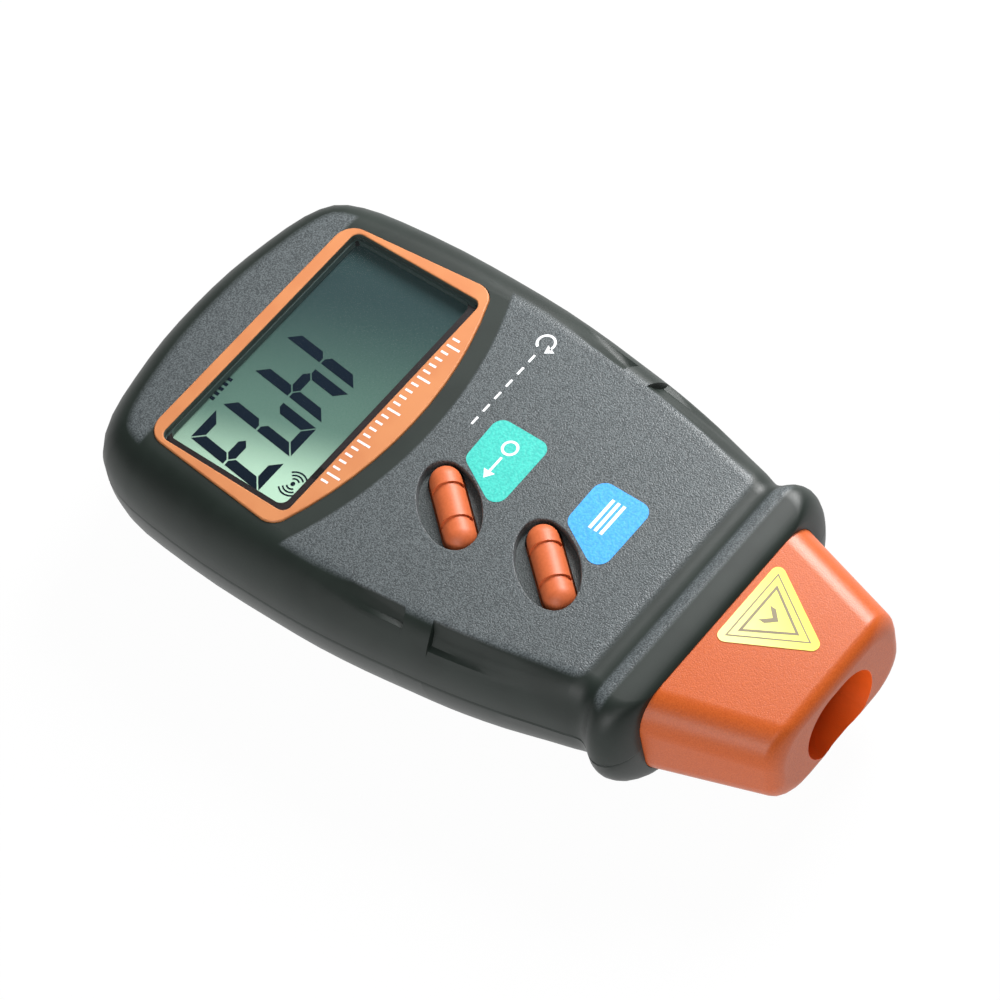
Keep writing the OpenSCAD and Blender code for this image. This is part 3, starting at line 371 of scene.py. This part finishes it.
# Painted shade and light in the tunnel: dark red at the rear, bright orange at the mouth.
tunnel_light_and_shade = tint(tree, ramp(tree, y, tunnel_rear_y + 6 * MM, nose_front_y), tunnel_shade_red, tunnel_lit_orange)
outer_colour = tint(tree, ramp(tree, fine, 0.25, 0.75), orange_deep, orange)
tree.links.new(tint(tree, tunnel, outer_colour, tunnel_light_and_shade), shader.inputs["Base Color"])
shader.inputs["Roughness"].default_value = 0.38
shader.inputs["Specular IOR Level"].default_value = 0.38
bump(tree, shader, fine, 0.03 * MM)


def at_mouth_rim(place):
    """True on the edge of the mouth, in the front of the nose."""
    return (place.y > nose_front_y - 2 * MM and abs(place.x - mouth_x) < 8.2 * MM
            and abs(place.z - mouth_z) < 6.8 * MM)


smooth_copy("nose_cone", "nose", nose_plastic, 40, at_rim=at_mouth_rim, rim=0.35 * MM)

# Push buttons: satin orange caps with two ring grooves, pushed up from below by their switch stems.
# They travel straight down into the dishes.
button_plastic, tree, shader = new_material("button_plastic")
where = object_axes(tree)[0]
fine = speckle(tree, where, 0.5 * MM, 1.0)
tree.links.new(tint(tree, ramp(tree, fine, 0.25, 0.75), srgb(186, 92, 50), srgb(194, 98, 56)),
               shader.inputs["Base Color"])
shader.inputs["Roughness"].default_value = 0.5
shader.inputs["Specular IOR Level"].default_value = 0.4
bump(tree, shader, fine, 0.008 * MM)
for key in ("test", "mem"):
    smooth_copy(key + "_button", key + "_cap", button_plastic, 35)

# Display frame: a lighter orange moulding, set flush in the case, with softly rounded edges.
# A plain scale of white ticks is printed on its wide front band.
inner_half_x = 24.75 * MM
inner_half_y = 13.55 * MM
inner_y = -35.65 * MM
inner_top_z = 28.2 * MM
frame_rim_z = 28.34 * MM
bezel_plastic = satin_plastic("bezel_plastic", srgb(180, 112, 68), srgb(186, 120, 74), 0.42)
tree = bezel_plastic.node_tree
shader = tree.nodes["Principled BSDF"]
x, y, z = object_axes(tree)[1:]
plain = shader.inputs["Base Color"].links[0].from_socket
inner_wall = all_of(tree, calc(tree, "LESS_THAN", calc(tree, "ABSOLUTE", x), inner_half_x),
                    near(tree, y, inner_y, inner_half_y), calc(tree, "LESS_THAN", z, inner_top_z))
tree.links.new(tint(tree, inner_wall, plain, srgb(60, 66, 62)), shader.inputs["Base Color"])
smooth_copy("display_bezel", "display_frame", bezel_plastic, 20,
            at_rim=lambda place: place.z > frame_rim_z, rim=0.3 * MM)


def printed(name, outlines, z, material, thickness=0.03 * MM, place=None):
    """Thin print on a surface: each outline is a face, lifted to the thickness of the ink."""
    form = bmesh.new()
    for outline in outlines:
        form.faces.new([form.verts.new((u * MM, v * MM, z)) for u, v in outline])
    bmesh.ops.recalc_face_normals(form, faces=form.faces)
    for face in form.faces:
        if face.normal.z < 0:
            face.normal_flip()
    lifted = bmesh.ops.extrude_face_region(form, geom=form.faces[:])
    bmesh.ops.translate(form, vec=(0, 0, thickness),
                        verts=[g for g in lifted["geom"] if isinstance(g, bmesh.types.BMVert)])
    if place is not None:
        bmesh.ops.transform(form, matrix=place, verts=form.verts)
    bmesh.ops.recalc_face_normals(form, faces=form.faces)
    mesh = bpy.data.meshes.new(name)
    form.to_mesh(mesh)
    form.free()
    mesh.materials.append(material)
    piece = bpy.data.objects.new(name, mesh)
    bpy.context.scene.collection.objects.link(piece)
    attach(piece, "case")
    return piece


def bar(x0, x1, y0, y1):
    """Outline of an upright rectangle."""
    return [(x0, y0), (x1, y0), (x1, y1), (x0, y1)]


def arc_band(cx, cy, radius, width, start, end, steps):
    """Outline of a stroke along an arc, with the angles in degrees."""
    turns = [radians(start + (end - start) * i / steps) for i in range(steps + 1)]
    return ([(cx + (radius + width / 2) * cos(a), cy + (radius + width / 2) * sin(a)) for a in turns]
            + [(cx + (radius - width / 2) * cos(a), cy + (radius - width / 2) * sin(a))
               for a in reversed(turns)])


pale_ink = satin_plastic("pale_ink", srgb(232, 212, 214), srgb(238, 220, 222), 0.5)
frame_top_z = 28.35 * MM
tick_pitch = 1.5
tick_count = 23
ticks = []
for i in range(tick_count):
    tick_x = (i - (tick_count - 1) / 2) * tick_pitch
    tick_front_y = -18.9 if i % 5 == 1 else -20.1
    ticks.append(bar(tick_x - 0.2, tick_x + 0.2, -21.5, tick_front_y))
printed("frame_scale", ticks, frame_top_z, pale_ink)

# Window and liquid crystal display: a clear plate over grey-green glass with dark segments. The glass
# lies 2.5 mm under the panel. Painted light makes its colour lighter towards the corner that faces the light.
clear, tree, shader = new_material("clear_window")
shader.inputs["Base Color"].default_value = (0.02, 0.03, 0.03, 1)
shader.inputs["Roughness"].default_value = 0.12
shader.inputs["Specular IOR Level"].default_value = 0.2
shader.inputs["Alpha"].default_value = 0.12
frame["nodes"]["display_window"].data.materials.clear()
frame["nodes"]["display_window"].data.materials.append(clear)

lcd_dark = srgb(38, 64, 66)
lcd_middle = srgb(98, 134, 120)
lcd_painted_light = srgb(214, 255, 226)
lcd, tree, shader = new_material("lcd_glass")
where, x, y = object_axes(tree)[:3]
# Painted light: the glass's colour grows lighter along this direction, towards the lit corner.
along = calc(tree, "ADD", calc(tree, "MULTIPLY", x, 0.86), calc(tree, "MULTIPLY", y, 0.30))
first = ramp(tree, along, -28 * MM, 4 * MM)
second = ramp(tree, along, -3 * MM, 12 * MM)
colour = tint(tree, second, tint(tree, first, lcd_dark, lcd_middle), lcd_painted_light)
grainy = ramp(tree, speckle(tree, where, 0.3 * MM), 0.3, 0.7, 0.0, 0.02)
tree.links.new(tint(tree, grainy, colour, (1, 1, 1, 1)), shader.inputs["Base Color"])
shader.inputs["Roughness"].default_value = 0.6
shader.inputs["Specular IOR Level"].default_value = 0.1
frame["nodes"]["lcd_glass"].data.materials.clear()
frame["nodes"]["lcd_glass"].data.materials.append(lcd)

lcd_top_z = 25.5 * MM
digit_w = 4.75
digit_h = 14.4
segment_half = 0.92
segment_gap = 0.2
digit_middle_y = -38.35
digit_slant = tan(radians(6.5))
digit_pitch = 8.0
last_digit_x = 18.6
w, h, t, g = digit_w / 2, digit_h / 2, segment_half, segment_gap
upright = [(w + t, h + t - g), (w + t, g), (w, g), (w - t, t + g), (w - t, h - t - g)]
level_end = [(-w - t + g, h + t), (w + t - g, h + t), (w - t - g, h - t), (-w + t + g, h - t)]
middle = [(g - w, 0), (t + g - w, t), (w - t - g, t), (w - g, 0), (w - t - g, -t), (t + g - w, -t)]
segments = {"a": level_end, "b": upright, "c": [(u, -v) for u, v in upright],
            "d": [(u, -v) for u, v in level_end], "f": [(-u, v) for u, v in upright], "g": middle}
shown = []
for i, lit in enumerate(("bc", "bcfg", "abcf", "abcdg")):
    digit_x = last_digit_x - digit_pitch * (3 - i)
    for name in lit:
        shown.append([(digit_x + u + v * digit_slant, digit_middle_y + v) for u, v in segments[name]])
signal_x, signal_y = 18.55, -26.4
for radius in (1.0, 1.65, 2.3):
    for start in (-45, 135):
        shown.append(arc_band(signal_x, signal_y, radius, 0.26, start, start + 90, 10))
shown.append([(signal_x + 0.4 * cos(i * pi / 8), signal_y + 0.4 * sin(i * pi / 8)) for i in range(16)])
for i in range(5):
    shown.append(bar(8.4 + 1.1 * i, 9.0 + 1.1 * i, -49.6, -48.2))
segment_ink = satin_plastic("segment_ink", srgb(14, 24, 40), srgb(18, 28, 44), 0.6, gloss=0.0)
printed("lcd_segments", shown, lcd_top_z, segment_ink, 0.05 * MM)


# Printed pads beside the buttons: screen printed on the panel, so they show its grain, with plain
# white signs on top. A dashed line and a turning arrow are printed on the bare panel.
def rounded_outline(corners, radius, steps=8):
    """Outline of a polygon, anticlockwise, with its corners rounded."""
    outline = []
    for i, corner in enumerate(corners):
        here = Vector(corner)
        back = (Vector(corners[i - 1]) - here).normalized()
        ahead = (Vector(corners[(i + 1) % len(corners)]) - here).normalized()
        half = back.angle(ahead) / 2
        centre = here + (back + ahead).normalized() * radius / sin(half)
        start = here + back * radius / tan(half) - centre
        sweep = pi - 2 * half
        for k in range(steps + 1):
            a = sweep * k / steps
            outline.append((centre.x + start.x * cos(a) - start.y * sin(a),
                            centre.y + start.x * sin(a) + start.y * cos(a)))
    return outline


def grained_ink(name, low, high):
    """Ink that takes on the grain of the panel below it."""
    material, tree, shader = new_material(name)
    where = object_axes(tree)[0]
    fine = speckle(tree, where, 0.42 * MM, 1.0)
    tree.links.new(tint(tree, ramp(tree, fine, 0.30, 0.70), low, high), shader.inputs["Base Color"])
    shader.inputs["Roughness"].default_value = 0.5
    bump(tree, shader, fine, 0.05 * MM)
    return material


teal_ink = grained_ink("teal_ink", srgb(36, 166, 156), srgb(50, 184, 170))
blue_ink = grained_ink("blue_ink", srgb(38, 140, 216), srgb(54, 158, 232))
printed("test_pad", [rounded_outline([(-8.95, -5.6), (0.45, -5.2), (5.85, 5.3), (-8.95, 5.2)], 2.0)],
        panel_z, teal_ink)
printed("mem_pad", [rounded_outline([(-8.55, 15.5), (0.75, 15.7), (6.15, 26.1), (-8.55, 26.1)], 2.2)],
        panel_z, blue_ink)
white_ink = satin_plastic("white_ink", srgb(226, 228, 230), srgb(236, 238, 240), 0.55)
ink_z = panel_z + 0.03 * MM
ring = arc_band(-5.0, -0.2, 1.25, 0.45, 0, 360, 32)
shaft = bar(-2.9, 0.2, -0.42, 0.02)
head = [(0.2, -1.3), (1.7, -0.2), (0.2, 0.9)]
printed("test_sign", [ring, shaft, head], ink_z, white_ink)
printed("mem_sign", [bar(-6.4, -0.2, 19.4 + 1.1 * i, 20.0 + 1.1 * i) for i in range(3)],
        ink_z, white_ink)
dash_pitch = 2.9
turning = [arc_band(-24.3, -8.4, 1.5, 0.42, 60, 330, 24), [(-23.4, -6.0), (-24.1, -7.8), (-22.5, -7.4)]]
for i in range(6):
    turning.append(bar(-21.4 + dash_pitch * i, -19.8 + dash_pitch * i, -8.6, -8.2))
printed("panel_sign", turning, panel_z, white_ink)

# Aiming sticker: coated yellow paper on the slope of the nose, with grey rules and a plain arrow head
# that points to the mouth.
sticker_paper, tree, shader = new_material("sticker_paper")
x, y = object_axes(tree)[1:3]
# Painted sheen: the paper turns paler towards one end.
painted_sheen = ramp(tree, calc(tree, "ADD", x, calc(tree, "MULTIPLY", y, -0.6)), -45 * MM, -24 * MM)
tree.links.new(tint(tree, painted_sheen, srgb(244, 236, 92), srgb(246, 241, 162)), shader.inputs["Base Color"])
shader.inputs["Roughness"].default_value = 0.25
frame["nodes"]["aiming_sticker"].data.materials.clear()
frame["nodes"]["aiming_sticker"].data.materials.append(sticker_paper)
sticker_x = -3.9
sticker_start = 1.2
sticker_thick = 0.12
sticker_l = 15.0
sticker_half_w = 8.75
nose_top_fall = 2.3
nose_top_l = 20.3
nose_slope = atan(nose_top_fall / nose_top_l)
nose_foot = Vector((sticker_x, 46, 26.5)) * MM
on_sticker = (Matrix.Translation(nose_foot) @ Matrix.Rotation(-nose_slope, 4, "X")
              @ Matrix.Translation(Vector((0, sticker_start, sticker_thick)) * MM))
grey_ink = satin_plastic("grey_ink", srgb(128, 116, 92), srgb(138, 126, 100), 0.4)


def triangle_rule(inset, width):
    """Three strokes of a triangle drawn inside the sticker's edge."""
    top, half_w = sticker_l - inset * 2.05, sticker_half_w - inset * 1.62
    outer = [Vector((-half_w, inset)), Vector((half_w, inset)), Vector((0, top))]
    strokes = []
    for i in range(3):
        a, b = outer[i], outer[(i + 1) % 3]
        side = (b - a).normalized()
        inward = Vector((-side.y, side.x)) * width
        mitre = side * width * 1.6
        strokes.append([tuple(a), tuple(b), tuple(b + inward - mitre), tuple(a + inward + mitre)])
    return strokes


arrow_head = [(-1.5, 3.6), (0, 5.2), (1.5, 3.6), (1.5, 4.7), (0, 6.3), (-1.5, 4.7)]
printed("sticker_rules", triangle_rule(1.2, 0.24) + triangle_rule(2.3, 0.42) + [arrow_head],
        0, grey_ink, 0.02 * MM, on_sticker)


# What lies inside: board, battery, optics and screws, each with its own finish. They are screwed to
# the case or lie in its pockets, and the wires are soldered to the board.
def metal(name, colour, roughness, grain=0.4 * MM):
    """Bare metal whose shine varies a little from place to place."""
    material, tree, shader = new_material(name)
    where = object_axes(tree)[0]
    shader.inputs["Base Color"].default_value = colour
    shader.inputs["Metallic"].default_value = 1
    tree.links.new(ramp(tree, speckle(tree, where, grain), 0.2, 0.8, roughness - 0.08, roughness + 0.08),
                   shader.inputs["Roughness"])
    return material


finishes = {
    "lcd_reflector": metal("reflector_foil", srgb(216, 218, 216), 0.5),
    "lcd_holder": satin_plastic("white_plastic", srgb(222, 222, 214), srgb(230, 230, 224), 0.45),
    "zebra_strips": satin_plastic("contact_rubber", srgb(196, 132, 146), srgb(206, 142, 156), 0.6),
    "main_board": satin_plastic("green_laminate", srgb(24, 96, 56), srgb(30, 108, 64), 0.3),
    "processor_blob": satin_plastic("black_resin", srgb(14, 14, 16), srgb(20, 20, 22), 0.2),
    "quartz_crystal": metal("crystal_can", srgb(206, 208, 212), 0.25),
    "capacitors": satin_plastic("can_sleeve", srgb(22, 40, 92), srgb(26, 46, 104), 0.3),
    "board_resistors": satin_plastic("resistor_ceramic", srgb(36, 36, 40), srgb(44, 44, 48), 0.4),
    "battery_pad": satin_plastic("grey_foam", srgb(40, 40, 42), srgb(54, 54, 56), 0.9, 0.8 * MM, 0.2 * MM),
    "battery": satin_plastic("battery_sleeve", srgb(30, 36, 48), srgb(36, 44, 58), 0.3),
    "battery_terminals": metal("nickel", srgb(214, 212, 204), 0.25),
    "laser_module": metal("turned_brass", srgb(214, 172, 92), 0.28),
    "photodiode": satin_plastic("diode_resin", srgb(40, 22, 28), srgb(46, 26, 32), 0.15),
    "laser_leads": satin_plastic("red_wire", srgb(170, 28, 24), srgb(182, 34, 28), 0.4),
    "battery_lead_black": satin_plastic("black_wire", srgb(20, 20, 22), srgb(26, 26, 28), 0.4),
    "photodiode_leads": metal("tinned_wire", srgb(200, 202, 206), 0.3),
    "case_screws": metal("zinc_steel", srgb(186, 188, 192), 0.35),
    "test_switch": satin_plastic("black_plastic", srgb(24, 24, 26), srgb(30, 30, 32), 0.45),
}
finishes["battery_lead_red"] = finishes["laser_leads"]
finishes["board_screws"] = finishes["carrier_screws"] = finishes["case_screws"]
for node in ("mem_switch", "optics_carrier", "battery_clip"):
    finishes[node] = finishes["test_switch"]
finishes["test_plunger"] = finishes["mem_plunger"] = finishes["lcd_holder"]
for name, colour in (("laser_lens", (0.9, 0.12, 0.10, 1)), ("receiver_lens", (0.95, 0.98, 1, 1))):
    finishes[name], tree, shader = new_material(name + "_glass")
    shader.inputs["Base Color"].default_value = colour
    shader.inputs["Roughness"].default_value = 0.03
    shader.inputs["Transmission Weight"].default_value = 0.9
for node, material in finishes.items():
    frame["nodes"][node].data.materials.clear()
    frame["nodes"][node].data.materials.append(material)
